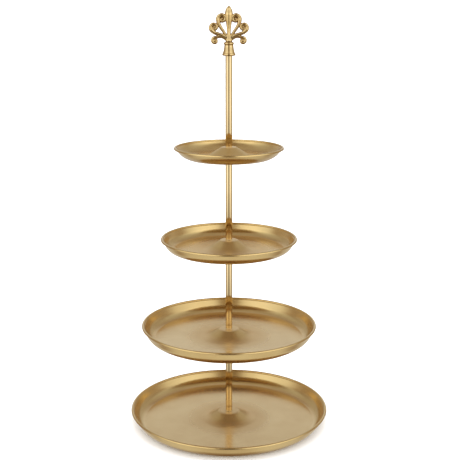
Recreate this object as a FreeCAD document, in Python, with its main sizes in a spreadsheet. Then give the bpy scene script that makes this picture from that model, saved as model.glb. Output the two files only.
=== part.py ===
import FreeCAD, Part
import math
import os

import Sketcher

# Four-tier cake stand. Four dished sheet-metal trays are threaded on one line of tube
# posts, and a cast fleur finial screws on top. Millimetres, +Z up. The origin is on the
# post line, in the plane that the base tray stands on.

os.makedirs("parts", exist_ok=True)
doc = FreeCAD.newDocument("cake_stand")

# ---------------------------------------------------------------- driving dimensions

SHEET = "Sizes"
SIZES = {
    # trays: all pressed from one gauge of sheet, with the same rolled lip and wall run
    "sheet_gauge": 1.0,
    "tray_hole_radius": 3.3,
    "wall_run": 20.5,
    "bead_radius": 1.9,
    "lip_skirt": 0.8,
    # posts
    "post_radius": 5.0,
    "post_bore": 4.0,
    "lowest_post_length": 132.0,
    "post_length": 137.0,
    "post_chamfer": 0.3,
    "gasket_height": 0.6,
    # M6 thread parts, modelled at the major radius
    "thread_radius": 3.0,
    "thread_clearance": 0.05,
    "insert_length": 12.0,
    "stud_seat": 10.0,
    "engagement": 8.0,
    "stud_chamfer": 0.5,
    # screw and washer in the hollow under the base tray
    "washer_radius": 9.0,
    "washer_height": 1.2,
    "screw_head_radius": 5.5,
    "screw_head_height": 3.6,
    "screw_head_side": 1.6,
    "screw_key_radius": 2.3,
    "screw_key_depth": 2.2,
    # finial collar: a bell with a bead round each end
    "collar_height": 20.0,
    "collar_socket_clearance": 0.1,
    "collar_overlap": 7.3,
    "collar_thread_depth": 8.3,
    "collar_bell_radius": 9.6,
    "collar_waist_radius": 6.6,
    "collar_top_radius": 7.2,
    "collar_bell_bead": 4.0,
    "collar_bell_bulge": 0.9,
    "collar_top_bead": 4.4,
    "collar_flank_bow": 0.7,
    "spigot_radius": 2.5,
    "spigot_length": 2.4,
    # finial ornament
    "ornament_height": 50.0,
    "bud_radius": 5.6,
    "scroll_stem_radius": 1.9,
    "scroll_ball_radius": 3.7,
    "curl_ball_radius": 2.6,
}

# each tray's own sizes, from the base up; the wall's slope is in degrees
TRAY_SIZES = (
    "rim_radius", "depth", "hump", "crown_radius", "shoulder", "hump_radius", "flare", "cove", "wall_slope",
)
TRAYS = {
    "base_tray": (150.0, 20.5, 12.0, 13.0, 8.0, 44.0, 35.0, 17.8, 68.0),
    "second_tray": (131.5, 21.0, 12.5, 12.0, 8.0, 46.0, 40.0, 16.6, 70.0),
    "third_tray": (101.0, 18.2, 15.0, 10.5, 7.0, 48.0, 45.0, 17.0, 66.0),
    "top_tray": (80.0, 13.9, 15.5, 9.5, 4.0, 42.5, 25.0, 26.0, 60.0),
}
for tray, values in TRAYS.items():
    for size, value in zip(TRAY_SIZES, values):
        SIZES[tray + "_" + size] = value

sheet = doc.addObject("Spreadsheet::Sheet", SHEET)
for row, (alias, value) in enumerate(SIZES.items(), start=1):
    sheet.set("A%d" % row, alias)
    sheet.set("B%d" % row, str(value))
    sheet.setAlias("B%d" % row, alias)
doc.recompute()


def cell(alias):
    """The expression that reads one size from the sheet."""
    return SHEET + "." + alias


def total(*terms):
    """The expression for a sum of sizes; a term that starts with a minus is taken away."""
    text = ""
    for term in terms:
        if term.startswith("-"):
            text += " - " + cell(term[1:])
        else:
            text += (" + " if text else "") + cell(term)
    return text


def amount(*terms):
    """The value in millimetres of the same sum."""
    return sum(-SIZES[t[1:]] if t.startswith("-") else SIZES[t] for t in terms)


# ---------------------------------------------------------------- the stack of levels

POSTS = ("lowest_post", "second_post", "third_post", "top_post")
POST_LENGTHS = ("lowest_post_length", "post_length", "post_length", "post_length")

# what lies below each tray's crown, each post's foot and each post's top end
CROWN_TOP = [("sheet_gauge", "base_tray_hump")]
POST_FOOT = []
POST_TOP = []
for length in POST_LENGTHS:
    POST_FOOT.append(CROWN_TOP[-1] + ("gasket_height",))
    POST_TOP.append(POST_FOOT[-1] + (length,))
    CROWN_TOP.append(POST_TOP[-1] + ("sheet_gauge",))
COLLAR_FOOT = POST_TOP[-1] + ("-collar_overlap",)
COLLAR_TOP = COLLAR_FOOT + ("collar_height",)

nodes = []


def keep(part, name, level):
    """Names a finished sub-part and lifts it to its level in the stack."""
    part.Label = name
    part.Placement = FreeCAD.Placement(FreeCAD.Vector(0, 0, amount(*level)), part.Placement.Rotation)
    part.setExpression("Placement.Base.z", total(*level))
    nodes.append(part)


def new_body(name):
    return doc.addObject("PartDesign::Body", name + "_body")


def plane(body, role):
    return next(f for f in body.Origin.OriginFeatures if f.Role == role)


def new_sketch(body, name, role):
    sketch = body.newObject("Sketcher::SketchObject", name)
    sketch.AttachmentSupport = [(plane(body, role), "")]
    sketch.MapMode = "FlatFace"
    return sketch


START, END, CENTRE = 1, 2, 3  # the points of a sketched line, arc or circle
X_AXIS, Z_AXIS = -1, -2  # a sketch's own axes
ORIGIN = (X_AXIS, START)


def bind(sketch, constraint, name, expression):
    """Adds a dimension to a sketch and ties it to the sheet."""
    index = sketch.addConstraint(constraint)
    sketch.renameConstraint(index, name)
    sketch.setExpression("Constraints." + name, expression)


def circle(sketch, name, radius, terms):
    index = sketch.addGeometry(Part.Circle(FreeCAD.Vector(0, 0, 0), FreeCAD.Vector(0, 0, 1), radius))
    sketch.addConstraint(Sketcher.Constraint("Coincident", index, CENTRE, *ORIGIN))
    bind(sketch, Sketcher.Constraint("Radius", index, radius), name, terms)


def chamfer_ends(body, base, radius, size_name):
    """Breaks the outer edge at both ends of a turned piece."""
    doc.recompute()
    edges = []
    for number, edge in enumerate(base.Shape.Edges, start=1):
        curve = edge.Curve
        if isinstance(curve, Part.Circle) and abs(curve.Radius - radius) < 1e-6:
            edges.append("Edge%d" % number)
    chamfer = body.newObject("PartDesign::Chamfer", base.Name + "_chamfer")
    chamfer.Base = (base, edges)
    chamfer.Size = SIZES[size_name]
    chamfer.setExpression("Size", cell(size_name))


def turned(name, level, outer, inner, length, chamfer=None):
    """A round bar, or a ring or tube when inner is given, standing on its level.

    outer, inner and length are sums of sizes.
    """
    body = new_body(name)
    sketch = new_sketch(body, name + "_section", "XY_Plane")
    circle(sketch, "outer_radius", amount(*outer), total(*outer))
    if inner:
        circle(sketch, "inner_radius", amount(*inner), total(*inner))
    pad = body.newObject("PartDesign::Pad", name + "_pad")
    pad.Profile = sketch
    pad.Length = amount(*length)
    pad.setExpression("Length", total(*length))
    if chamfer:
        chamfer_ends(body, pad, amount(*outer), chamfer)
    keep(body, name, level)


# ---------------------------------------------------------------- trays


def line(x0, z0, x1, z1):
    return Part.LineSegment(FreeCAD.Vector(x0, z0, 0), FreeCAD.Vector(x1, z1, 0))


def arc_between(centre, radius, start, end):
    """A counter-clockwise arc from start to end, in degrees."""
    ring = Part.Circle(FreeCAD.Vector(centre[0], centre[1], 0), FreeCAD.Vector(0, 0, 1), radius)
    return Part.ArcOfCircle(ring, math.radians(start), math.radians(end))


def flank_angle(rise, run, shoulder, flare):
    """Slope of the hump's straight flank, which is tangent to its shoulder and its flare."""
    low, high = 1.0, 89.0
    for _ in range(60):
        angle = 0.5 * (low + high)
        a = math.radians(angle)
        fall = (run - (shoulder + flare) * math.sin(a)) * math.tan(a)
        fall += (shoulder + flare) * (1 - math.cos(a))
        low, high = (angle, high) if fall < rise else (low, angle)
    return angle


def wall_points(start, bead_centre, cove, bead, slope):
    """Centre of the cove, and both ends of the straight wall between the cove and the bead."""
    a = math.radians(slope)
    up, inwards = (math.cos(a), math.sin(a)), (-math.sin(a), math.cos(a))
    # from the start to the centre of a cove that would touch the bead with no straight wall
    aim = [bead_centre[k] + (bead + cove) * inwards[k] - start[k] for k in (0, 1)]
    along = aim[0] * up[0] + aim[1] * up[1]
    length = along - math.sqrt(along ** 2 - aim[0] ** 2 - aim[1] ** 2 + cove ** 2)
    top = [bead_centre[k] + bead * inwards[k] for k in (0, 1)]
    centre = [start[k] + aim[k] - length * up[k] for k in (0, 1)]
    return centre, [top[k] - length * up[k] for k in (0, 1)], top


def tray(name, crown_level):
    """One pressed tray: crown, cone, flat floor, cove, straight wall and rolled lip.

    The sketch is the upper surface, with the floor at its zero height. An offset gives it
    the sheet's thickness and a full turn makes it a tray.
    """
    rim, depth, hump, crown, shoulder, hump_r, flare, cove, wall_slope = TRAYS[name]
    hole, bead, skirt = SIZES["tray_hole_radius"], SIZES["bead_radius"], SIZES["lip_skirt"]
    floor = rim - SIZES["wall_run"]
    slope = flank_angle(hump, hump_r - crown, shoulder, flare)
    a = math.radians(slope)
    top_of_flank = (crown + shoulder * math.sin(a), hump - shoulder * (1 - math.cos(a)))
    foot_of_flank = (hump_r - flare * math.sin(a), flare * (1 - math.cos(a)))
    bead_centre = (rim - bead, depth - bead)
    cove_centre, wall_foot, wall_top = wall_points((floor, 0), bead_centre, cove, bead, wall_slope)
    cove_start = math.degrees(math.atan2(0 - cove_centre[1], floor - cove_centre[0]))

    profile = doc.addObject("Sketcher::SketchObject", name + "_profile")
    profile.Placement = FreeCAD.Placement(
        FreeCAD.Vector(0, 0, 0), FreeCAD.Rotation(FreeCAD.Vector(1, 0, 0), 90)
    )
    flat, round_over, cone, foot, base, curve, wall, lip, edge = [
        profile.addGeometry(g)
        for g in (
            line(hole, hump, crown, hump),
            arc_between((crown, hump - shoulder), shoulder, 90 - slope, 90),
            line(*top_of_flank, *foot_of_flank),
            arc_between((hump_r, flare), flare, 270 - slope, 270),
            line(hump_r, 0, floor, 0),
            arc_between(cove_centre, cove, cove_start, wall_slope - 90),
            line(*wall_foot, *wall_top),
            arc_between(bead_centre, bead, 0, 90 + wall_slope),
            line(rim, depth - bead, rim, depth - bead - skirt),
        )
    ]
    for first, second in (
        ((flat, END), (round_over, END)),
        ((round_over, START), (cone, START)),
        ((cone, END), (foot, START)),
        ((foot, END), (base, START)),
        ((curve, END), (wall, START)),
        ((wall, END), (lip, END)),
        ((lip, START), (edge, START)),
    ):
        profile.addConstraint(Sketcher.Constraint("Tangent", *first, *second))
    profile.addConstraint(Sketcher.Constraint("Coincident", base, END, curve, START))
    profile.addConstraint(Sketcher.Constraint("Horizontal", flat))
    profile.addConstraint(Sketcher.Constraint("Horizontal", base))
    profile.addConstraint(Sketcher.Constraint("PointOnObject", base, START, X_AXIS))
    profile.addConstraint(Sketcher.Constraint("Vertical", edge))

    def own(size):
        return cell(name + "_" + size)

    across, up = "DistanceX", "DistanceY"
    floor_expression = own("rim_radius") + " - " + cell("wall_run")
    bead_x = own("rim_radius") + " - " + cell("bead_radius")
    bead_z = own("depth") + " - " + cell("bead_radius")
    for dimension, label, expression in (
        (Sketcher.Constraint(across, *ORIGIN, flat, START, hole), "hole", cell("tray_hole_radius")),
        (Sketcher.Constraint(up, *ORIGIN, flat, START, hump), "hump", own("hump")),
        (Sketcher.Constraint(across, *ORIGIN, flat, END, crown), "crown", own("crown_radius")),
        (Sketcher.Constraint("Radius", round_over, shoulder), "shoulder", own("shoulder")),
        (Sketcher.Constraint("Radius", foot, flare), "flare", own("flare")),
        (Sketcher.Constraint(across, *ORIGIN, base, START, hump_r), "hump_edge", own("hump_radius")),
        (Sketcher.Constraint(across, *ORIGIN, base, END, floor), "floor", floor_expression),
        (Sketcher.Constraint("Radius", curve, cove), "cove", own("cove")),
        (Sketcher.Constraint("Angle", wall, math.radians(wall_slope)), "wall_slope", own("wall_slope")),
        (Sketcher.Constraint("Radius", lip, bead), "bead", cell("bead_radius")),
        (Sketcher.Constraint(across, *ORIGIN, lip, CENTRE, rim - bead), "bead_across", bead_x),
        (Sketcher.Constraint(up, *ORIGIN, lip, CENTRE, depth - bead), "bead_up", bead_z),
        (Sketcher.Constraint(up, edge, END, edge, START, skirt), "skirt", cell("lip_skirt")),
    ):
        bind(profile, dimension, label, expression)

    section = doc.addObject("Part::Offset2D", name + "_section")
    section.Source = profile
    section.Mode = "Skin"
    section.Join = "Intersection"
    section.Fill = True
    section.Value = -SIZES["sheet_gauge"]
    section.setExpression("Value", "-" + cell("sheet_gauge"))

    turned_tray = doc.addObject("Part::Revolution", name + "_turn")
    turned_tray.Source = section
    turned_tray.Axis = (0, 0, 1)
    turned_tray.Base = (0, 0, 0)
    turned_tray.Angle = 360
    turned_tray.Solid = True
    keep(turned_tray, name, crown_level + ("-" + name + "_hump",))


for name, crown_level in zip(TRAYS, CROWN_TOP):
    tray(name, crown_level)

# ---------------------------------------------------------------- posts and thread parts

THREAD = ("thread_radius",)
THREAD_HOLE = ("thread_radius", "thread_clearance")

for index, post in enumerate(POSTS):
    foot, top, length = POST_FOOT[index], POST_TOP[index], POST_LENGTHS[index]
    turned(post, foot, ("post_radius",), ("post_bore",), (length,), "post_chamfer")
    turned(post + "_gasket", foot + ("-gasket_height",), ("post_radius",), ("tray_hole_radius",),
           ("gasket_height",))
    turned(post + "_lower_insert", foot, ("post_bore",), THREAD_HOLE, ("insert_length",))
    # the stud is locked in the upper insert, so that one is bored to the stud's own radius
    turned(post + "_upper_insert", top + ("-insert_length",), ("post_bore",), THREAD, ("insert_length",))
    # a tray lies over every post but the top one, which ends inside the collar
    above = ("gasket_height", "engagement")
    if post != POSTS[-1]:
        above += ("sheet_gauge",)
    turned(post + "_stud", top + ("-stud_seat",), THREAD, None, ("stud_seat",) + above, "stud_chamfer")

turned("collar_gasket", POST_TOP[-1], ("post_radius",), ("tray_hole_radius",), ("gasket_height",))

# ---------------------------------------------------------------- screw and washer under the base

UNDER_CROWN = CROWN_TOP[0] + ("-sheet_gauge", "-washer_height")
turned("base_washer", UNDER_CROWN, ("washer_radius",), ("tray_hole_radius",), ("washer_height",))


def base_screw():
    """Pan-head M6 screw with a hexagon key, head down; its zero height is under the head's seat."""
    head, height, side = (SIZES["screw_head_" + k] for k in ("radius", "height", "side"))
    sag = height - side
    dome = (head ** 2 + sag ** 2) / (2 * sag)
    grip = ("washer_height", "sheet_gauge", "gasket_height", "engagement")
    body = new_body("base_screw")
    sketch = new_sketch(body, "screw_head_section", "XZ_Plane")
    seat, rim, cap, axis = [
        sketch.addGeometry(g)
        for g in (
            line(0, 0, head, 0),
            line(head, 0, head, -side),
            arc_between((0, dome - height), dome, 270, 270 + math.degrees(math.asin(head / dome))),
            line(0, -height, 0, 0),
        )
    ]
    for first, second in (
        ((seat, START), ORIGIN),
        ((seat, END), (rim, START)),
        ((rim, END), (cap, END)),
        ((cap, START), (axis, START)),
        ((axis, END), (seat, START)),
    ):
        sketch.addConstraint(Sketcher.Constraint("Coincident", *first, *second))
    sketch.addConstraint(Sketcher.Constraint("Horizontal", seat))
    sketch.addConstraint(Sketcher.Constraint("Vertical", rim))
    sketch.addConstraint(Sketcher.Constraint("PointOnObject", cap, START, Z_AXIS))
    sketch.addConstraint(Sketcher.Constraint("PointOnObject", cap, CENTRE, Z_AXIS))
    for dimension, size in (
        (Sketcher.Constraint("DistanceX", seat, START, seat, END, head), "screw_head_radius"),
        (Sketcher.Constraint("DistanceY", axis, START, axis, END, height), "screw_head_height"),
        (Sketcher.Constraint("DistanceY", rim, END, rim, START, side), "screw_head_side"),
    ):
        bind(sketch, dimension, size, cell(size))
    turn = body.newObject("PartDesign::Revolution", "screw_head")
    turn.Profile = sketch
    turn.ReferenceAxis = (sketch, ["V_Axis"])
    turn.Angle = 360

    shank_sketch = new_sketch(body, "screw_shank_section", "XY_Plane")
    circle(shank_sketch, "shank_radius", SIZES["thread_radius"], cell("thread_radius"))
    shank = body.newObject("PartDesign::Pad", "screw_shank")
    shank.Profile = shank_sketch
    shank.Length = amount(*grip)
    shank.setExpression("Length", total(*grip))

    key_sketch = new_sketch(body, "screw_key_section", "XY_Plane")
    radius = SIZES["screw_key_radius"]
    ring = [
        FreeCAD.Vector(radius * math.cos(math.radians(60 * k)), radius * math.sin(math.radians(60 * k)), 0)
        for k in range(6)
    ]
    sides = [key_sketch.addGeometry(Part.LineSegment(ring[k], ring[(k + 1) % 6])) for k in range(6)]
    guide = key_sketch.addGeometry(Part.Circle(FreeCAD.Vector(0, 0, 0), FreeCAD.Vector(0, 0, 1), radius), True)
    key_sketch.addConstraint(Sketcher.Constraint("Coincident", guide, CENTRE, *ORIGIN))
    for k in range(6):
        key_sketch.addConstraint(Sketcher.Constraint("Coincident", sides[k], END, sides[(k + 1) % 6], START))
        key_sketch.addConstraint(Sketcher.Constraint("PointOnObject", sides[k], START, guide))
    for k in range(5):
        key_sketch.addConstraint(Sketcher.Constraint("Equal", sides[k], sides[k + 1]))
    key_sketch.addConstraint(Sketcher.Constraint("PointOnObject", sides[0], START, X_AXIS))
    bind(key_sketch, Sketcher.Constraint("Radius", guide, radius), "key_radius", cell("screw_key_radius"))
    key_sketch.AttachmentOffset = FreeCAD.Placement(FreeCAD.Vector(0, 0, -height), FreeCAD.Rotation())
    key_sketch.setExpression("AttachmentOffset.Base.z", "-" + cell("screw_head_height"))
    key = body.newObject("PartDesign::Pocket", "screw_key")
    key.Profile = key_sketch
    key.Length = SIZES["screw_key_depth"]
    key.Reversed = True
    key.setExpression("Length", cell("screw_key_depth"))
    keep(body, "base_screw", UNDER_CROWN)


base_screw()

# ---------------------------------------------------------------- finial


def collar():
    """Cast bell: a bead round its mouth, a waist, and a smaller bead under the ornament."""
    height = SIZES["collar_height"]
    bell, waist, top = (SIZES["collar_" + k] for k in ("bell_radius", "waist_radius", "top_radius"))
    bulge, bow_in = SIZES["collar_bell_bulge"], SIZES["collar_flank_bow"]
    bell_bead, top_bead = SIZES["collar_bell_bead"], height - SIZES["collar_top_bead"]
    socket = amount("post_radius", "collar_socket_clearance")
    shoulder = amount("collar_overlap", "gasket_height")
    thread, thread_top = amount(*THREAD_HOLE), shoulder + SIZES["collar_thread_depth"]

    def at(x, z):
        return FreeCAD.Vector(x, 0, z)

    def bow(x0, z0, x1, z1, out):
        """An arc from one point to the other, bowed outwards by out."""
        return Part.Arc(at(x0, z0), at(0.5 * (x0 + x1) + out, 0.5 * (z0 + z1)), at(x1, z1)).toShape()

    def straight(*points):
        return [Part.LineSegment(at(*a), at(*b)).toShape() for a, b in zip(points, points[1:])]

    neck = bell - bulge
    edges = straight((socket, 0), (neck, 0))
    edges += [bow(neck, 0, neck, bell_bead, bulge)]
    edges += [bow(neck, bell_bead, waist, top_bead, -bow_in)]
    edges += [bow(waist, top_bead, waist, height, top - waist)]
    spigot_floor = height - SIZES["spigot_length"]
    edges += straight(
        (waist, height), (SIZES["spigot_radius"], height), (SIZES["spigot_radius"], spigot_floor),
        (0, spigot_floor), (0, thread_top), (thread, thread_top), (thread, shoulder),
        (socket, shoulder), (socket, 0),
    )
    face = Part.Face(Part.Wire(edges))
    part = doc.addObject("Part::Feature", "finial_collar_shape")
    part.Shape = face.revolve(FreeCAD.Vector(0, 0, 0), FreeCAD.Vector(0, 0, 1), 360)
    keep(part, "finial_collar", COLLAR_FOOT)


# The bud's outline from its foot to its tip: across in bud radii, up in ornament heights.
BUD_OUTLINE = [(0.9, 0), (0.6, 0.12), (0.5, 0.26), (0.68, 0.48), (0.9, 0.64), (1, 0.77), (0.68, 0.91), (0, 1)]

# Right-hand scrolls of the ornament, as centre lines from the neck out to the curl, across
# and up from the collar's top. Each ends in a ball; the left side mirrors them.
SCROLLS = {
    "upper": [(1.2, 3.0), (5.4, 11.0), (10.4, 18.0), (14.7, 24.4), (15.9, 30.1), (13.9, 35.3), (9.8, 37.4),
              (6.0, 35.7), (5.3, 32.5)],
    "middle": [(2.0, 4.5), (8.4, 8.8), (15.2, 10.8), (21.3, 12.6), (25.6, 16.0), (26.4, 20.2), (23.8, 23.6),
               (20.2, 24.2), (17.0, 22.0), (16.6, 19.4)],
    "lower": [(2.0, 1.6), (9.0, 5.5), (15.0, 7.1), (19.8, 6.6), (22.9, 4.0), (22.9, 0.2), (19.9, -2.3),
              (16.5, -1.3), (15.5, 1.2)],
}
BALLS = {
    "upper": ((8.9, 31.7), "scroll_ball_radius"),
    "middle": ((20.2, 19.2), "scroll_ball_radius"),
    "lower": ((17.9, 1.8), "curl_ball_radius"),
}


def ornament():
    """Cast fleur: a spear bud between three pairs of scrolls."""
    stem = SIZES["scroll_stem_radius"]
    height, bud = SIZES["ornament_height"], SIZES["bud_radius"]
    outline = [(across * bud, up * height) for across, up in BUD_OUTLINE]
    curve = Part.BSplineCurve()
    curve.interpolate([FreeCAD.Vector(x, 0, z) for x, z in outline])
    spigot, depth = SIZES["spigot_radius"], SIZES["spigot_length"]
    corners = [(0, height), (0, -depth), (spigot, -depth), (spigot, 0), outline[0]]
    corners = [FreeCAD.Vector(x, 0, z) for x, z in corners]
    edges = [curve.toShape()]
    edges += [Part.LineSegment(p, q).toShape() for p, q in zip(corners, corners[1:])]
    core = Part.Face(Part.Wire(Part.__sortEdges__(edges)))
    solid = core.revolve(FreeCAD.Vector(0, 0, 0), FreeCAD.Vector(0, 0, 1), 360)

    for scroll, points in SCROLLS.items():
        (ball_x, ball_z), ball_size = BALLS[scroll]
        for side in (1, -1):
            route = [FreeCAD.Vector(side * x, 0, z) for x, z in points]
            middle = Part.BSplineCurve()
            middle.interpolate(route)
            spine = Part.Wire([middle.toShape()])
            ring = Part.Circle(route[0], middle.tangent(0)[0], stem)
            tube = spine.makePipeShell([Part.Wire([ring.toShape()])], True, False)
            end = Part.makeSphere(stem, route[-1])
            ball = Part.makeSphere(SIZES[ball_size], FreeCAD.Vector(side * ball_x, 0, ball_z))
            solid = solid.fuse([tube, end, ball])
    part = doc.addObject("Part::Feature", "finial_ornament_shape")
    part.Shape = solid.removeSplitter()
    keep(part, "finial_ornament", COLLAR_TOP)


collar()
ornament()

# ---------------------------------------------------------------- checks and export

doc.recompute()
failed = [o.Name for o in doc.Objects if "Invalid" in o.State or "Error" in o.State]
if failed:
    raise RuntimeError("failed objects: " + ", ".join(failed))
for node in nodes:
    shape = node.Shape
    if shape.isNull() or not shape.isValid() or len(shape.Solids) != 1:
        raise RuntimeError("bad shape: " + node.Label)
    shape.exportStep("parts/" + node.Label + ".step")
    box = shape.BoundBox
    print("%-28s z %8.2f to %8.2f  volume %10.1f" % (node.Label, box.ZMin, box.ZMax, shape.Volume))
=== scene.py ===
import math

import bpy
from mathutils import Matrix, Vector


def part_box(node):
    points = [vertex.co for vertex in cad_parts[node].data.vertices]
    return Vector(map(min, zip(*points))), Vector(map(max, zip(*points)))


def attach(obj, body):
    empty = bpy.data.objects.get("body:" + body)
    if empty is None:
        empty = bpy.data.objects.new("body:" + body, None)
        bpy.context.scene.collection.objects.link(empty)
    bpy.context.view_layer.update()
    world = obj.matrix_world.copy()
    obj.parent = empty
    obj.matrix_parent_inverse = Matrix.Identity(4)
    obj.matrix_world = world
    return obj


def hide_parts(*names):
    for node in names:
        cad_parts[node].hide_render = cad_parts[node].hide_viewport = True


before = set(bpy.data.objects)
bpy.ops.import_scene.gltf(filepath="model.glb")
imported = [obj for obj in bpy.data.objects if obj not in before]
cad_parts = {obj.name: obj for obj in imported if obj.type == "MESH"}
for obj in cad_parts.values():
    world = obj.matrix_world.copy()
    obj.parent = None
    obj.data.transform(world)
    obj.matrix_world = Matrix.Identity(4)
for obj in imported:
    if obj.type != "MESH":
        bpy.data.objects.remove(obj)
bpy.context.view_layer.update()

MM = 0.001

# ---------------------------------------------------------------- sizes shared with the CAD

TRAYS = ("base_tray", "second_tray", "third_tray", "top_tray")
POSTS = ("lowest_post", "second_post", "third_post", "top_post")
TRAY_BODY = {"base_tray": "base", "second_tray": "second_tray", "third_tray": "third_tray", "top_tray": "top_tray"}

GAUGE = 1.0 * MM
WALL_RUN = 20.5 * MM
BEAD_R = 1.9 * MM
LIP_SKIRT = 0.8 * MM
TRAY_HOLE_R = 3.3 * MM
TRAY_HOLE_EASE = 0.15 * MM
# hump height, crown radius, shoulder radius, hump radius, flare radius, cove radius, wall slope in degrees
TRAY_SHAPE = {
    "base_tray": (12.0, 13.0, 8.0, 44.0, 35.0, 17.8, 68.0),
    "second_tray": (12.5, 12.0, 8.0, 46.0, 40.0, 16.6, 70.0),
    "third_tray": (15.0, 10.5, 7.0, 48.0, 45.0, 17.0, 66.0),
    "top_tray": (15.5, 9.5, 4.0, 42.5, 25.0, 26.0, 60.0),
}
POST_BORE_R = 4.0 * MM
THREAD_R = 3.0 * MM
PITCH = 1.0 * MM

# ---------------------------------------------------------------- finer shapes

# the groove between the wall and the rolled lip: how far down the wall it starts, and how far round the roll it ends
GROOVE_RUN = 2.0 * MM
GROOVE_TURN = 42.0
# between which angles, in degrees, the slope of a tray's cone is looked for, and in how many halvings
SLOPE_SEARCH = (1.0, 60.0)
HALVINGS = 60

# steps along a tray's section, from the crown out to the edge of the lip, and round a tube's eased corner
CROWN_STEPS = 8
FLARE_STEPS = 16
COVE_STEPS = 24
ROLL_STEPS = 20
LIP_STEPS = 8
EASE_STEPS = 4

TUBE_EASE = 0.35 * MM
GASKET_EASE = 0.2 * MM
WASHER_EASE = 0.25 * MM

THREAD_DEPTH = 0.55 * MM
THREAD_CHAMFER = 0.75 * MM
THREAD_STEPS = 10
# a thread's profile in parts of its depth: how much it rises over a whole pitch of flank, and how much is cut off
# flat at the root
FLANK = 2.6
ROOT = 0.12

KEY_R = 2.3 * MM
KEY_FLOOR_UP = 2.5 * MM
KEY_MOUTH_R = 2.75 * MM
KEY_CHAMFER = 0.25 * MM
HEAD_HEIGHT = 3.6 * MM
HEAD_SIDE = 1.6 * MM
HEAD_EASE = 0.2 * MM
DOME_STEPS = 8

AROUND_TRAY = 288
AROUND_POST = 64
AROUND_THREAD = 48
AROUND_COLLAR = 96
AROUND_BUD = 32
AROUND_SCROLL = 20
BALL_ROWS = 14

# the collar's outside, foot to waist: parts of the widest radius, and mm above the foot
COLLAR_MOUTH = ((0.70, 0.0), (0.88, 0.35), (0.965, 1.0), (1.0, 2.0), (0.985, 3.0), (0.94, 3.7), (0.90, 3.9))
COLLAR_BELL = ((0.905, 4.2), (0.86, 5.4), (0.80, 7.2), (0.745, 9.4), (0.71, 11.6), (0.69, 13.6), (0.685, 15.0))
COLLAR_BEAD_R = 2.1 * MM
COLLAR_BEAD_OUT = 0.765
COLLAR_BEAD_UP = 17.4 * MM
# first and last angle of the bead in degrees, and its steps
COLLAR_BEAD_ARC = (-62, 78, 14)
COLLAR_NECK = ((0.47, 0.15), (0.43, 0.0))
# the collar's inside: the socket round the post, the threaded hole over it, and the hole for the ornament's pin
SOCKET_GAP = 0.1 * MM
SOCKET_EASE = 0.25 * MM
COLLAR_THREAD_R = 3.05 * MM
COLLAR_THREAD_UP = 8.3 * MM
PIN_R = 2.5 * MM
PIN_DEPTH = 2.4 * MM
PIN_FLOOR_R = 0.3 * MM

# right-hand scrolls, in mm across and up from the collar's top: the stem's line, the volute (centre, radius, first
# and last angle, angle held at full radius, tightness, steps), the half width at the stem's foot, at the volute and
# at the tip, and the radius and half thickness of the thin web that closes the volute behind its coil
SCROLLS = (
    (((0.9, 1.5), (3.4, 7.0), (7.2, 13.4), (11.6, 19.8), (14.6, 25.6)),
     ((9.4, 31.0), 6.1, -8, 440, 90, 0.0046, 40), (1.9, 3.1, 1.4), (5.2, 1.1)),
    (((1.2, 1.6), (4.8, 6.0), (9.4, 8.9), (15.2, 10.7), (20.4, 12.4)),
     ((20.6, 19.2), 5.3, -44, 440, 80, 0.0044, 44), (2.0, 2.9, 1.4), (4.8, 1.1)),
    (((1.4, 0.6), (4.9, 3.6), (9.2, 6.2), (13.8, 6.9)),
     ((19.4, 0.9), 4.7, 96, -330, 50, 0.0034, 40), (1.8, 2.4, 1.4), (4.0, 1.1)),
)
STEM_STEPS = 8
STEM_SWELL = 1.3
VOLUTE_TAPER = 0.8
SCROLL_DEEP = 1.15
EYE_R = 1.9
EYE_DEEP = 1.5

# the bud's half width and height in mm, from its pin up to just under the tip
BUD_PIN_FLOOR = -2.3
BUD = ((2.4, BUD_PIN_FLOOR), (2.4, 0.0), (5.0, 0.0), (4.9, 1.0), (4.2, 2.6), (3.4, 5.0), (2.8, 9.0), (2.8, 13.0),
       (3.1, 18.0), (3.8, 23.5), (4.6, 28.5), (5.3, 33.5), (5.8, 37.5), (5.6, 40.8), (4.8, 43.8), (3.5, 46.6))
BUD_TIP_R = 1.9
BUD_TIP_DROP = 1.2
BUD_DEEP = 0.92
RIDGE_HEIGHT = 0.10
RIDGE_WIDTH = 0.06

CASTING_VOXEL = 0.32 * MM
CASTING_SMOOTH = 0.5
CASTING_PASSES = 4

# ---------------------------------------------------------------- colours and finishes

GOLD_DARK = (0.72, 0.53, 0.275)
GOLD = (0.79, 0.605, 0.325)
GOLD_PALE = (0.83, 0.65, 0.37)
GOLD_TONES = ((0.28, GOLD_DARK), (0.52, GOLD), (0.78, GOLD_PALE))
CLOUD_SCALE = 22.0
CLOUD_SHARE = 0.72
SPECK_SCALE = 260.0
BRUSHED_SHARE = 0.6
BRUSH_DEPTH = 0.00006

# the finish's noise, in steps per metre or per radian: close rings that run slowly round, lines up the post, stipple
RINGS_OUT = 2600.0
RINGS_ROUND = 2.2
LINES_ROUND = 22.0
LINES_UP = 60.0
STIPPLE = 900.0

# painted shade: what a tray's gold is multiplied by, from faces that look straight down (0) to faces that look
# straight up (1):
# dull brown underneath, deeper on the walls and in the cove, and unchanged on the flat floor
TRAY_PAINTED_SHADE = ((0.0, (0.70, 0.62, 0.48)), (0.10, (0.76, 0.68, 0.53)), (0.28, (0.98, 0.93, 0.76)),
             (0.74, (1.0, 0.965, 0.80)), (0.82, (0.80, 0.765, 0.62)), (0.93, (0.82, 0.79, 0.66)),
             (0.985, (1.0, 1.0, 1.0)))
# the same painted shade for the casting, dark on faces that look down rather than up
CAST_PAINTED_SHADE = ((0.10, (0.42, 0.30, 0.14)), (0.36, (0.74, 0.62, 0.40)), (0.50, (1.0, 1.0, 1.0)))
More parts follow.
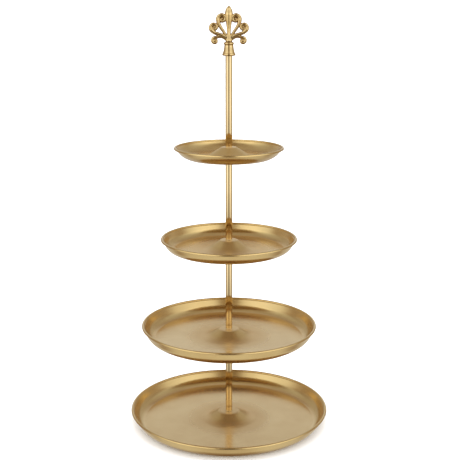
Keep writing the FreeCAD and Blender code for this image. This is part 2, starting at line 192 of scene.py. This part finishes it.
# and painted shade for the casting, from deep in a hollow (0) to out in the open (1), and how far off a hollow's
# other side can be
HOLLOW_PAINTED_SHADE = ((0.30, (0.24, 0.15, 0.05)), (0.62, (0.56, 0.43, 0.23)), (0.90, (1.0, 0.97, 0.86)))
HOLLOW_REACH = 6.0 * MM
# extra roughness of a tray's cone: none outside the first radius, all inside the second
CONE_DULL = (("From Min", 76.0 * MM), ("From Max", 40.0 * MM), ("To Min", 0.0), ("To Max", 0.18))

STEEL_SCALE = 140.0
STEEL_FINE = 900.0
STEEL_TONES = ((0.3, (0.46, 0.45, 0.43)), (0.6, (0.60, 0.59, 0.57)), (0.8, (0.68, 0.67, 0.66)))
STEEL_ROUGH = (0.22, 0.42)
NYLON_SCALE = 320.0
NYLON_TONES = ((0.3, (0.50, 0.37, 0.17)), (0.7, (0.62, 0.47, 0.24)))
NYLON_ROUGH = (0.35, 0.5)
NYLON_DEPTH = 0.1
FLOOR_SCALE = 3.0
FLOOR_TONES = ((0.3, (0.90, 0.90, 0.90)), (0.7, (0.92, 0.92, 0.92)))

# ---------------------------------------------------------------- light and camera

# what the metal mirrors, as light from the front (0) round both sides to the back (1). Straight down there is the
# table in the stand's own shadow, and each later band takes over between two heights in degrees above the level
NADIR = ((0.0, 0.26), (0.5, 0.24), (1.0, 0.14))
BANDS = (
    # the lit table
    (-78.0, -64.0, ((0.0, 0.48), (0.55, 0.44), (0.78, 0.36), (1.0, 0.14))),
    # the feet of the soft boxes, where less light comes
    (-50.0, -38.0, ((0.0, 0.02), (0.05, 0.03), (0.11, 0.36), (0.32, 0.42), (0.46, 0.34), (0.58, 0.20), (0.68, 0.22),
                    (0.76, 0.36), (0.88, 0.42), (1.0, 0.34))),
    # soft boxes on both sides, with a narrow dark gap between them in front
    (-24.0, -7.0, ((0.0, 0.02), (0.05, 0.03), (0.11, 0.72), (0.32, 0.80), (0.46, 0.62), (0.58, 0.20), (0.80, 0.18),
                   (0.92, 0.28), (1.0, 0.32))),
    # just above the level, with a pale backdrop behind
    (3.0, 12.0, ((0.0, 0.10), (0.05, 0.16), (0.13, 0.58), (0.25, 0.64), (0.42, 0.52), (0.56, 0.22), (0.80, 0.32),
                 (1.0, 0.40))),
    # large soft boxes high in front
    (25.0, 36.0, ((0.0, 0.22), (0.06, 0.30), (0.15, 0.70), (0.34, 0.74), (0.50, 0.50), (0.62, 0.36), (0.80, 0.30),
                  (0.92, 0.20), (1.0, 0.18))),
    # overhead
    (48.0, 64.0, ((0.0, 0.12), (0.12, 0.18), (0.5, 0.28), (1.0, 0.28))),
)
MIRRORED_STRENGTH = 1.7
EVEN_STRENGTH = 2.0
# dark parts of the surroundings are brown up to the first level, and the brown fades out over the range above it
BROWN_BELOW = 0.07
BROWN_RANGE = 0.30
BROWN = (1.0, 0.58, 0.22)

FLOOR_HALF = 40.0
CAMERA_LENS = 77.27
CAMERA_TILT = 13.42
CAMERA_ACROSS = 0.0016
CAMERA_BACK = 1.4225
CAMERA_ABOVE_RIM = 0.6176
VIEW_LIMIT = 200.0


# ---------------------------------------------------------------- materials


def material(name):
    m = bpy.data.materials.new(name)
    m.use_nodes = True
    nodes = m.node_tree.nodes
    nodes.clear()
    out = nodes.new("ShaderNodeOutputMaterial")
    shader = nodes.new("ShaderNodeBsdfPrincipled")
    m.node_tree.links.new(shader.outputs["BSDF"], out.inputs["Surface"])
    return m, shader


def feed(tree, socket, value):
    """Links a node output to the socket, or sets a plain value on it."""
    if isinstance(value, bpy.types.NodeSocket):
        tree.links.new(value, socket)
    else:
        socket.default_value = value


def add(m, kind, **inputs):
    """A new node, with the values of its named inputs; a node output given as a value is linked."""
    node = m.node_tree.nodes.new(kind)
    for key, value in inputs.items():
        feed(m.node_tree, node.inputs[key.replace("_", " ")], value)
    return node


def maths(tree, operation, a, b=0.0):
    node = tree.nodes.new("ShaderNodeMath")
    node.operation = operation
    for socket, value in zip(node.inputs, (a, b)):
        feed(tree, socket, value)
    return node.outputs[0]


def noise(m, vector, scale, detail=2.0, roughness=0.5):
    node = add(m, "ShaderNodeTexNoise", Vector=vector, Scale=scale, Detail=detail, Roughness=roughness)
    return node.outputs["Fac"]


def ramp(tree, factor, stops, interpolation="LINEAR"):
    node = tree.nodes.new("ShaderNodeValToRGB")
    node.color_ramp.interpolation = interpolation
    tree.links.new(factor, node.inputs["Fac"])
    ends = node.color_ramp.elements
    for i, (at, colour) in enumerate(stops):
        stop = ends[i] if i < 2 else ends.new(at)
        stop.position = at
        stop.color = (*colour, 1.0)
    return node.outputs["Color"]


def multiplied(m, first, second):
    """Two colours multiplied."""
    node = m.node_tree.nodes.new("ShaderNodeMix")
    node.data_type = "RGBA"
    node.blend_type = "MULTIPLY"
    for name, value in (("Factor", 1.0), ("A", first), ("B", second)):
        feed(m.node_tree, node.inputs[name], value)
    return node.outputs["Result"]


def spread(m, factor, low, high):
    """A 0 to 1 factor, stretched to run from low to high."""
    return add(m, "ShaderNodeMapRange", Value=factor, To_Min=low, To_Max=high).outputs["Result"]


def place(m):
    """Where the point is, in metres."""
    return m.node_tree.nodes.new("ShaderNodeTexCoord").outputs["Object"]


def distance(tree, x, y):
    """How far the point is from the post line."""
    squares = [maths(tree, "MULTIPLY", v, v) for v in (x, y)]
    return maths(tree, "SQRT", maths(tree, "ADD", *squares))


def scaled(m, *parts):
    """A vector from up to three values, each times a number."""
    node = m.node_tree.nodes.new("ShaderNodeCombineXYZ")
    for socket, (value, number) in zip(node.inputs, parts):
        m.node_tree.links.new(maths(m.node_tree, "MULTIPLY", value, number), socket)
    return node.outputs["Vector"]


def mixed(m, first, second, share):
    """Two values added, the first with its share and the second with the rest."""
    tree = m.node_tree
    return maths(tree, "ADD", maths(tree, "MULTIPLY", first, share), maths(tree, "MULTIPLY", second, 1.0 - share))


def satin_gold(name, grain, rough, strength):
    """Plated metal with a fine directional brushing.

    grain is "turned" for rings about the post line, as on a spun tray, "drawn" for lines
    along the post, and "cast" for the even stippled skin of a casting.
    """
    m, shader = material(name)
    where = place(m)
    x, y, z = add(m, "ShaderNodeSeparateXYZ", Vector=where).outputs
    if grain == "turned":
        radius = distance(m.node_tree, x, y)
        angle = maths(m.node_tree, "ARCTAN2", y, x)
        sweep = scaled(m, (radius, RINGS_OUT), (angle, RINGS_ROUND), (z, RINGS_OUT))
    elif grain == "drawn":
        angle = maths(m.node_tree, "ARCTAN2", y, x)
        sweep = scaled(m, (angle, LINES_ROUND), (z, LINES_UP))
    else:
        sweep = scaled(m, (x, STIPPLE), (y, STIPPLE), (z, STIPPLE))
    fine = noise(m, sweep, 1.0, detail=3.0, roughness=0.6)
    cloud = noise(m, where, CLOUD_SCALE, detail=3.0, roughness=0.55)
    speck = noise(m, where, SPECK_SCALE, roughness=0.6)
    colour = ramp(m.node_tree, mixed(m, cloud, fine, CLOUD_SHARE), GOLD_TONES)
    roughness = spread(m, mixed(m, fine, speck, BRUSHED_SHARE), *rough)
    normal = m.node_tree.nodes.new("ShaderNodeNewGeometry").outputs["Normal"]
    up = add(m, "ShaderNodeSeparateXYZ", Vector=normal).outputs["Z"]
    facing = add(m, "ShaderNodeMapRange", Value=up, From_Min=-1.0, From_Max=1.0).outputs["Result"]
    if grain == "turned":
        # painted shade: the tray's gold is darkened and deepened by which way each face looks
        colour = multiplied(m, colour, ramp(m.node_tree, facing, TRAY_PAINTED_SHADE))
        centre = add(m, "ShaderNodeMapRange", Value=radius)
        centre.interpolation_type = "SMOOTHSTEP"
        for socket, value in CONE_DULL:
            centre.inputs[socket].default_value = value
        roughness = maths(m.node_tree, "ADD", roughness, centre.outputs["Result"])
    if grain == "cast":
        # painted shade: the casting is darker deep in its hollows
        open_sky = add(m, "ShaderNodeAmbientOcclusion", Distance=HOLLOW_REACH).outputs["AO"]
        colour = multiplied(m, colour, ramp(m.node_tree, open_sky, HOLLOW_PAINTED_SHADE))
        # painted shade: the casting is darker on faces that look down
        colour = multiplied(m, colour, ramp(m.node_tree, facing, CAST_PAINTED_SHADE))
    m.node_tree.links.new(colour, shader.inputs["Base Color"])
    m.node_tree.links.new(roughness, shader.inputs["Roughness"])
    bump = add(m, "ShaderNodeBump", Strength=strength, Distance=BRUSH_DEPTH, Height=fine)
    m.node_tree.links.new(bump.outputs["Normal"], shader.inputs["Normal"])
    shader.inputs["Metallic"].default_value = 1.0
    return m


def plated_steel():
    m, shader = material("zinc_plated_steel")
    where = place(m)
    colour = ramp(m.node_tree, noise(m, where, STEEL_SCALE, detail=3.0, roughness=0.6), STEEL_TONES)
    m.node_tree.links.new(colour, shader.inputs["Base Color"])
    m.node_tree.links.new(spread(m, noise(m, where, STEEL_FINE), *STEEL_ROUGH), shader.inputs["Roughness"])
    shader.inputs["Metallic"].default_value = 1.0
    return m


def nylon():
    m, shader = material("amber_nylon")
    cloud = noise(m, place(m), NYLON_SCALE)
    m.node_tree.links.new(ramp(m.node_tree, cloud, NYLON_TONES), shader.inputs["Base Color"])
    m.node_tree.links.new(spread(m, cloud, *NYLON_ROUGH), shader.inputs["Roughness"])
    shader.inputs["Subsurface Weight"].default_value = NYLON_DEPTH
    return m


TRAY_GOLD = satin_gold("spun_satin_gold", "turned", rough=(0.16, 0.25), strength=0.12)
POST_GOLD = satin_gold("drawn_satin_gold", "drawn", rough=(0.06, 0.11), strength=0.03)
CAST_GOLD = satin_gold("cast_satin_gold", "cast", rough=(0.10, 0.19), strength=0.1)
STEEL = plated_steel()
NYLON = nylon()


# ---------------------------------------------------------------- mesh helpers


def new_mesh(name, points, faces, finish, crease):
    """A smooth-shaded object in the part's frame, with edges sharper than crease kept crisp."""
    mesh = bpy.data.meshes.new(name)
    mesh.from_pydata(points, [], faces)
    mesh.validate()
    mesh.update()
    mesh.shade_smooth()
    mesh.set_sharp_from_angle(angle=math.radians(crease))
    mesh.materials.append(finish)
    obj = bpy.data.objects.new(name, mesh)
    bpy.context.scene.collection.objects.link(obj)
    return obj


def grid_faces(rows, around, closed_rows=False):
    """Quads between rows of points that each run once round."""
    faces = []
    last = rows if closed_rows else rows - 1
    for i in range(last):
        a, b = i * around, ((i + 1) % rows) * around
        for j in range(around):
            k = (j + 1) % around
            faces.append((a + j, a + k, b + k, b + j))
    return faces


def fan(centre, row, around, upward):
    """Triangles from a centre point to the row of points that starts at that index."""
    faces = []
    for j in range(around):
        a, b = row + j, row + (j + 1) % around
        faces.append((centre, a, b) if upward else (centre, b, a))
    return faces


def capped(rows, first, last):
    """A closed shell of rows of points, with a centre point for each end."""
    around = len(rows[0])
    points = [p for row in rows for p in row] + [first, last]
    faces = grid_faces(len(rows), around)
    faces += fan(len(points) - 2, 0, around, False)
    faces += fan(len(points) - 1, (len(rows) - 1) * around, around, True)
    return points, faces


def level_ring(radii, z):
    """Points about the post line at one height, one for each radius."""
    around = len(radii)
    return [(r * math.cos(2 * math.pi * j / around), r * math.sin(2 * math.pi * j / around), z)
            for j, r in enumerate(radii)]


def lathe(name, profile, around, finish, crease):
    """Turns a closed profile of (radius, height) points about the post line.

    The profile runs so that the solid is on its left, seen with the radius to the right.
    """
    points = []
    for r, z in profile:
        points += level_ring([r] * around, z)
    return new_mesh(name, points, grid_faces(len(profile), around, True), finish, crease)


def arc(centre, radius, start, end, steps):
    """Points on an arc, angles in degrees, both ends included."""
    out = []
    for i in range(steps + 1):
        a = math.radians(start + (end - start) * i / steps)
        out.append((centre[0] + radius * math.cos(a), centre[1] + radius * math.sin(a)))
    return out


def stand_for(obj, node, body):
    """obj replaces that CAD node and moves with its body."""
    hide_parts(node)
    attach(obj, body)


# ---------------------------------------------------------------- trays


def bisect(rising, low, high):
    """Where a rising function crosses zero."""
    for _ in range(HALVINGS):
        middle = 0.5 * (low + high)
        low, high = (middle, high) if rising(middle) < 0 else (low, middle)
    return middle


def tray_profile(node):
    """Closed section of one tray: along the upper surface to the lip, and back underneath."""
    hump, crown, shoulder, hump_r, flare, cove = (v * MM for v in TRAY_SHAPE[node][:-1])
    wall = math.radians(TRAY_SHAPE[node][-1])
    low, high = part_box(node)
    rim, floor = high[0], low[2] + GAUGE
    depth = high[2] - floor
    floor_r = rim - WALL_RUN

    def fall(angle):
        turn = (shoulder + flare) * math.sin(angle)
        return (hump_r - crown - turn) * math.tan(angle) + (shoulder + flare) * (1 - math.cos(angle)) - hump

    slope = math.degrees(bisect(fall, *(math.radians(a) for a in SLOPE_SEARCH)))
    bead = (rim - BEAD_R, depth - BEAD_R)
    # the cove starts at the floor's edge and runs into the straight wall, which is tangent to the bead
    up, out = (math.cos(wall), math.sin(wall)), (-math.sin(wall), math.cos(wall))
    aim = (bead[0] + (BEAD_R + cove) * out[0] - floor_r, bead[1] + (BEAD_R + cove) * out[1])
    along = aim[0] * up[0] + aim[1] * up[1]
    length = along - math.sqrt(along ** 2 - aim[0] ** 2 - aim[1] ** 2 + cove ** 2)
    centre = (floor_r + aim[0] - length * up[0], aim[1] - length * up[1])
    top_angle = math.degrees(wall) - 90
    edge = bead[1] - LIP_SKIRT + 0.5 * GAUGE

    def section(offset, groove):
        """The same line, offset below and outside the upper surface, with or without the groove under the lip."""
        foot = math.degrees(math.asin((-offset - centre[1]) / (cove + offset)))
        line = [(TRAY_HOLE_R, hump - offset)]
        line += arc((crown, hump - shoulder), shoulder - offset, 90, 90 - slope, CROWN_STEPS)
        line += arc((hump_r, flare), flare + offset, 270 - slope, 270, FLARE_STEPS)
        line += arc(centre, cove + offset, foot, top_angle, COVE_STEPS)
        roll = 180 + top_angle
        if groove:
            line.append(tuple(bead[k] + BEAD_R * out[k] - GROOVE_RUN * up[k] for k in (0, 1)))
            roll += GROOVE_TURN
        line += arc(bead, BEAD_R - offset, roll, 0, ROLL_STEPS)
        return line + [(rim - offset, edge)]

    upper, under = section(0.0, True), section(GAUGE, False)
    lip_end = arc((rim - 0.5 * GAUGE, edge), 0.5 * GAUGE, 0, -180, LIP_STEPS)[1:-1]
    top, foot = upper[0][1], under[0][1]
    hole = [(TRAY_HOLE_R + TRAY_HOLE_EASE, foot), (TRAY_HOLE_R, foot + TRAY_HOLE_EASE),
            (TRAY_HOLE_R, top - TRAY_HOLE_EASE), (TRAY_HOLE_R + TRAY_HOLE_EASE, top)]
    profile = upper[1:] + lip_end + under[:0:-1] + hole
    return [(r, z + floor) for r, z in profile]


for node in TRAYS:
    tray = lathe(node + "_sheet", tray_profile(node), AROUND_TRAY, TRAY_GOLD, crease=9.0)
    stand_for(tray, node, TRAY_BODY[node])


# ---------------------------------------------------------------- posts, rings and threads


def ring_profile(inner, outer, low, high, ease):
    """A tube's section with its four corners eased."""
    line = []
    for r, z, start in ((outer, low, -90), (outer, high, 0), (inner, high, 90), (inner, low, 180)):
        inward = -ease if r == outer else ease
        upward = ease if z == low else -ease
        line += arc((r + inward, z + upward), ease, start, start + 90, EASE_STEPS)
    return line


def ring(node, ending, inner, ease, finish, crease):
    """A tube or ring as high and as wide as that CAD node."""
    low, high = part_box(node)
    return lathe(node + ending, ring_profile(inner, high[0], low[2], high[2], ease), AROUND_POST, finish, crease)


def rings():
    for post in POSTS:
        tube = ring(post, "_tube", POST_BORE_R, TUBE_EASE, POST_GOLD, crease=30.0)
        stand_for(tube, post, post)
    lifts = {post + "_gasket": post + "_lift" for post in POSTS}
    lifts["collar_gasket"] = "finial_lift"
    for node, body in lifts.items():
        gasket = ring(node, "_ring", TRAY_HOLE_R, GASKET_EASE, NYLON, crease=50.0)
        stand_for(gasket, node, body)
    washer = ring("base_washer", "_ring", TRAY_HOLE_R, WASHER_EASE, STEEL, crease=50.0)
    stand_for(washer, "base_washer", "base")


def thread_rows(low, high, lead_in):
    """Rows of points of a right-hand thread, from low to high, with a chamfered end or two."""
    rows = []
    count = int(round((high - low) / PITCH * THREAD_STEPS))
    for i in range(count + 1):
        z = low + (high - low) * i / count
        radii = []
        for j in range(AROUND_THREAD):
            phase = (z / PITCH - j / AROUND_THREAD) % 1.0
            # a flat crest, straight flanks and a narrow flat root
            height = min(1.0, max(0.0, FLANK * abs(phase - 0.5) - ROOT))
            r = THREAD_R - THREAD_DEPTH * (1.0 - height)
            for end, wanted in ((low, lead_in[0]), (high, lead_in[1])):
                if wanted:
                    r = min(r, THREAD_R - THREAD_CHAMFER + abs(z - end))
            radii.append(r)
        rows.append(level_ring(radii, z))
    return rows


def threaded(name, rows):
    """A closed steel piece from its rows of points."""
    ends = [(0.0, 0.0, row[0][2]) for row in (rows[0], rows[-1])]
    return new_mesh(name, *capped(rows, *ends), STEEL, crease=35.0)


def studs():
    for post in POSTS:
        node = post + "_stud"
        low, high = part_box(node)
        stud = threaded(node + "_thread", thread_rows(low[2], high[2], (True, True)))
        stand_for(stud, node, post)


def hexagon(corner):
    """Radius of a hexagon's outline at each step round, from its corner radius."""
    out = []
    for j in range(AROUND_THREAD):
        a = (2 * math.pi * j / AROUND_THREAD) % (math.pi / 3) - math.pi / 6
        out.append(corner * math.cos(math.pi / 6) / math.cos(a))
    return out


def screw():
    """The pan-head screw, from the floor of its key hole round the head and up the thread."""
    low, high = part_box("base_screw")
    head_r = high[0]
    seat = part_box("base_washer")[0][2]
    bottom = seat - HEAD_HEIGHT
    sag = HEAD_HEIGHT - HEAD_SIDE
    dome = (head_r ** 2 + sag ** 2) / (2 * sag)

    def dome_z(r):
        return bottom + dome - math.sqrt(dome ** 2 - r ** 2)

    def circle(r, z):
        return level_ring([r] * AROUND_THREAD, z)

    rows = [level_ring(hexagon(KEY_R), bottom + KEY_FLOOR_UP),
            level_ring(hexagon(KEY_R), dome_z(KEY_R) + KEY_CHAMFER),
            circle(KEY_MOUTH_R, dome_z(KEY_MOUTH_R))]
    for step in range(1, DOME_STEPS + 1):
        r = KEY_MOUTH_R + (head_r - KEY_CHAMFER - KEY_MOUTH_R) * step / DOME_STEPS
        rows.append(circle(r, dome_z(r)))
    rows += [circle(head_r, dome_z(head_r) + 0.5 * HEAD_EASE), circle(head_r, seat - HEAD_EASE)]
    rows += [circle(head_r - HEAD_EASE, seat), circle(THREAD_R + HEAD_EASE, seat)]
    rows += thread_rows(seat + HEAD_EASE, high[2], (False, True))
    stand_for(threaded("base_screw_pan", rows), "base_screw", "base")


rings()
studs()
screw()

for post in POSTS:
    for end in ("lower", "upper"):
        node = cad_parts[post + "_" + end + "_insert"]
        for held in node.material_slots:
            held.material = STEEL


# ---------------------------------------------------------------- finial


def collar():
    """Bell with a bead round its mouth and another under the ornament."""
    low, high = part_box("finial_collar")
    foot, top, widest = low[2], high[2], high[0]
    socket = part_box("top_post")[1][0] + SOCKET_GAP
    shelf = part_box("collar_gasket")[1][2]
    outline = [(socket + SOCKET_EASE, foot)]
    outline += [(r * widest, foot + z * MM) for r, z in COLLAR_MOUTH + COLLAR_BELL]
    bead = (COLLAR_BEAD_OUT * widest - COLLAR_BEAD_R, foot + COLLAR_BEAD_UP)
    outline += arc(bead, COLLAR_BEAD_R, *COLLAR_BEAD_ARC)
    outline += [(r * widest, top - z * MM) for r, z in COLLAR_NECK]
    roof, pin_floor = shelf + COLLAR_THREAD_UP, top - PIN_DEPTH
    inside = [(PIN_R, top), (PIN_R, pin_floor), (PIN_FLOOR_R, pin_floor), (PIN_FLOOR_R, roof),
              (COLLAR_THREAD_R, roof), (COLLAR_THREAD_R, shelf), (socket, shelf), (socket, foot + SOCKET_EASE)]
    obj = lathe("finial_collar_bell", outline + inside, AROUND_COLLAR, CAST_GOLD, crease=28.0)
    stand_for(obj, "finial_collar", "finial")


def spiral(centre, radius, start, end, hold, tight, steps):
    """Points that turn about a centre, holding radius up to the angle hold, then winding in."""
    out = []
    for i in range(steps + 1):
        a = start + (end - start) * i / steps
        past = max(0.0, abs(a - start) - abs(hold - start))
        r = radius * math.exp(-tight * past)
        out.append((centre[0] + r * math.cos(math.radians(a)), centre[1] + r * math.sin(math.radians(a))))
    return out


def smooth_path(points, per_span):
    """Catmull-Rom points through the given ones."""
    ends = [points[0]] + list(points) + [points[-1]]
    out = []
    for p0, p1, p2, p3 in zip(ends, ends[1:], ends[2:], ends[3:]):
        for i in range(per_span):
            t = i / per_span
            out.append(tuple(
                0.5 * (2 * b + (c - a) * t + (2 * a - 5 * b + 4 * c - d) * t * t + (3 * b - a - 3 * c + d) * t ** 3)
                for a, b, c, d in zip(p0, p1, p2, p3)
            ))
    out.append(tuple(points[-1]))
    return out


def swept(points, radii):
    """A closed bar in the XZ plane along a line of (x, z) points."""
    rows = []
    for i, (x, z) in enumerate(points):
        ax, az = points[max(0, i - 1)]
        bx, bz = points[min(len(points) - 1, i + 1)]
        length = math.hypot(bx - ax, bz - az)
        side = (-(bz - az) / length, (bx - ax) / length)
        row = []
        for j in range(AROUND_SCROLL):
            a = 2 * math.pi * j / AROUND_SCROLL
            out, depth = radii[i] * math.cos(a), SCROLL_DEEP * radii[i] * math.sin(a)
            row.append((x + side[0] * out, depth, z + side[1] * out))
        rows.append(row)
    return capped(rows, *((x, 0.0, z) for x, z in (points[0], points[-1])))


def poled(bottom, rows, top):
    """A closed shell of a point, rows of points above it, and a point."""
    around = len(rows[0])
    points = [bottom] + [p for row in rows for p in row] + [top]
    faces = fan(0, 1, around, False) + fan(len(points) - 1, 1 + (len(rows) - 1) * around, around, True)
    faces += [tuple(1 + i for i in face) for face in grid_faces(len(rows), around)]
    return points, faces


def ball(x, z, radius, deep):
    """A closed ball that is deep times as thick as it is wide."""
    rows = []
    for i in range(1, BALL_ROWS):
        polar = math.pi * i / BALL_ROWS
        flat = level_ring([radius * math.sin(polar)] * AROUND_SCROLL, z - radius * math.cos(polar))
        rows.append([(x + px, deep * py, pz) for px, py, pz in flat])
    return poled((x, 0.0, z - radius), rows, (x, 0.0, z + radius))


def scroll_parts():
    """Shells of the six scrolls: for each a bar, the eye at its end, and the web behind its coil."""
    for stem, volute, (thin, wide, tip), (web, thick) in SCROLLS:
        centre, coil = volute[0], spiral(*volute)
        line = smooth_path(stem + (coil[0],), STEM_STEPS)
        stem_count = len(line)
        line += coil[1:]
        coil_count = len(line) - stem_count
        radii = [thin + (wide - thin) * (i / stem_count) ** STEM_SWELL for i in range(stem_count)]
        radii += [wide + (tip - wide) * (i / coil_count) ** VOLUTE_TAPER for i in range(coil_count)]
        for side in (1, -1):
            yield swept([(side * x, z) for x, z in line], radii)
            yield ball(side * line[-1][0], line[-1][1], EYE_R, EYE_DEEP)
            yield ball(side * centre[0], centre[1], web, thick / web)


def bud(height):
    """The spear bud and the pin under it, with a soft ridge up its front and back."""
    rows = []
    for r, z in BUD + ((BUD_TIP_R, height - BUD_TIP_DROP),):
        row = []
        for x, y, _ in level_ring([1.0] * AROUND_BUD, z):
            ridge = 1.0 + RIDGE_HEIGHT * math.exp(-((abs(y) - 1.0) / RIDGE_WIDTH) ** 2) if z > 0 else 1.0
            row.append((r * x, BUD_DEEP * r * y * ridge, z))
        rows.append(row)
    return poled((0.0, 0.0, BUD_PIN_FLOOR), rows, (0.0, 0.0, height))


def ornament():
    """The fleur: bud and scrolls fused into one cast skin."""
    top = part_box("finial_collar")[1][2]
    height = (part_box("finial_ornament")[1][2] - top) / MM
    points, faces = [], []
    for part_points, part_faces in [*scroll_parts(), bud(height)]:
        start = len(points)
        points += [(x * MM, y * MM, top + z * MM) for x, y, z in part_points]
        faces += [tuple(start + i for i in face) for face in part_faces]
    obj = new_mesh("finial_fleur", points, faces, CAST_GOLD, crease=180.0)
    fuse = obj.modifiers.new("fuse", "REMESH")
    fuse.mode = "VOXEL"
    fuse.voxel_size = CASTING_VOXEL
    fuse.use_smooth_shade = True
    soften = obj.modifiers.new("soften", "SMOOTH")
    soften.factor = CASTING_SMOOTH
    soften.iterations = CASTING_PASSES
    bpy.context.view_layer.update()
    fused = bpy.data.meshes.new_from_object(obj.evaluated_get(bpy.context.evaluated_depsgraph_get()))
    obj.modifiers.clear()
    obj.data = fused
    obj.data.shade_smooth()
    stand_for(obj, "finial_ornament", "finial")


collar()
ornament()


# ---------------------------------------------------------------- studio


def brown_when_dark(level):
    """A light level's colour: white where it is bright, brown where it is dark."""
    pale = min(1.0, max(0.0, (level - BROWN_BELOW) / BROWN_RANGE))
    return tuple(level * (part + (1.0 - part) * pale) for part in BROWN)


def studio_world():
    """Bands of light and dark for the metal to mirror, and an even white for everything else."""
    world = bpy.data.worlds.new("studio")
    bpy.context.scene.world = world
    world.use_nodes = True
    tree = world.node_tree
    tree.nodes.clear()

    def levels(stops):
        return ramp(tree, turn, [(at, brown_when_dark(level)) for at, level in stops], "EASE")

    def background(colour, strength):
        node = tree.nodes.new("ShaderNodeBackground")
        feed(tree, node.inputs["Color"], colour)
        node.inputs["Strength"].default_value = strength
        return node.outputs[0]

    split = tree.nodes.new("ShaderNodeSeparateXYZ")
    tree.links.new(tree.nodes.new("ShaderNodeTexCoord").outputs["Generated"], split.inputs[0])
    x, y, z = split.outputs
    # 0 towards the front (-Y), 1 towards the back
    ahead = maths(tree, "MULTIPLY", y, -1.0)
    turn = maths(tree, "DIVIDE", maths(tree, "ARCTAN2", maths(tree, "ABSOLUTE", x), ahead), math.pi)
    # degrees above the level
    height = maths(tree, "MULTIPLY", maths(tree, "ARCSINE", z), 180.0 / math.pi)
    light = levels(NADIR)
    for low, high, stops in BANDS:
        rise = tree.nodes.new("ShaderNodeMapRange")
        rise.interpolation_type = "SMOOTHSTEP"
        for name, value in (("Value", height), ("From Min", low), ("From Max", high)):
            feed(tree, rise.inputs[name], value)
        blend = tree.nodes.new("ShaderNodeMix")
        blend.data_type = "RGBA"
        for name, value in (("Factor", rise.outputs["Result"]), ("A", light), ("B", levels(stops))):
            tree.links.new(value, blend.inputs[name])
        light = blend.outputs["Result"]
    pick = tree.nodes.new("ShaderNodeMixShader")
    tree.links.new(tree.nodes.new("ShaderNodeLightPath").outputs["Is Glossy Ray"], pick.inputs["Fac"])
    tree.links.new(background((1.0, 1.0, 1.0, 1.0), EVEN_STRENGTH), pick.inputs[1])
    tree.links.new(background(light, MIRRORED_STRENGTH), pick.inputs[2])
    tree.links.new(pick.outputs[0], tree.nodes.new("ShaderNodeOutputWorld").inputs["Surface"])


def floor():
    corners = [(x * FLOOR_HALF, y * FLOOR_HALF, 0.0) for x, y in ((-1, -1), (1, -1), (1, 1), (-1, 1))]
    mesh = bpy.data.meshes.new("studio_floor")
    mesh.from_pydata(corners, [], [(0, 1, 2, 3)])
    obj = bpy.data.objects.new("studio_floor", mesh)
    bpy.context.scene.collection.objects.link(obj)
    m, shader = material("pale_floor")
    colour = ramp(m.node_tree, noise(m, place(m), FLOOR_SCALE), FLOOR_TONES)
    m.node_tree.links.new(colour, shader.inputs["Base Color"])
    shader.inputs["Roughness"].default_value = 0.9
    shader.inputs["Specular IOR Level"].default_value = 0.1
    mesh.materials.append(m)
    obj.visible_glossy = False


def camera():
    """Looks down on the stand from in front of the posts."""
    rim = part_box("base_tray")[1][2]
    data = bpy.data.cameras.new("camera")
    data.sensor_width = 36.0
    data.lens = CAMERA_LENS
    data.clip_end = VIEW_LIMIT
    obj = bpy.data.objects.new("camera", data)
    bpy.context.scene.collection.objects.link(obj)
    obj.location = (CAMERA_ACROSS, -CAMERA_BACK, rim + CAMERA_ABOVE_RIM)
    obj.rotation_euler = (math.radians(90.0 - CAMERA_TILT), 0.0, 0.0)
    bpy.context.scene.camera = obj


studio_world()
floor()
camera()

view = bpy.context.scene.view_settings
view.view_transform = "Standard"
view.look = "None"
view.exposure = 0.0
view.gamma = 1.0
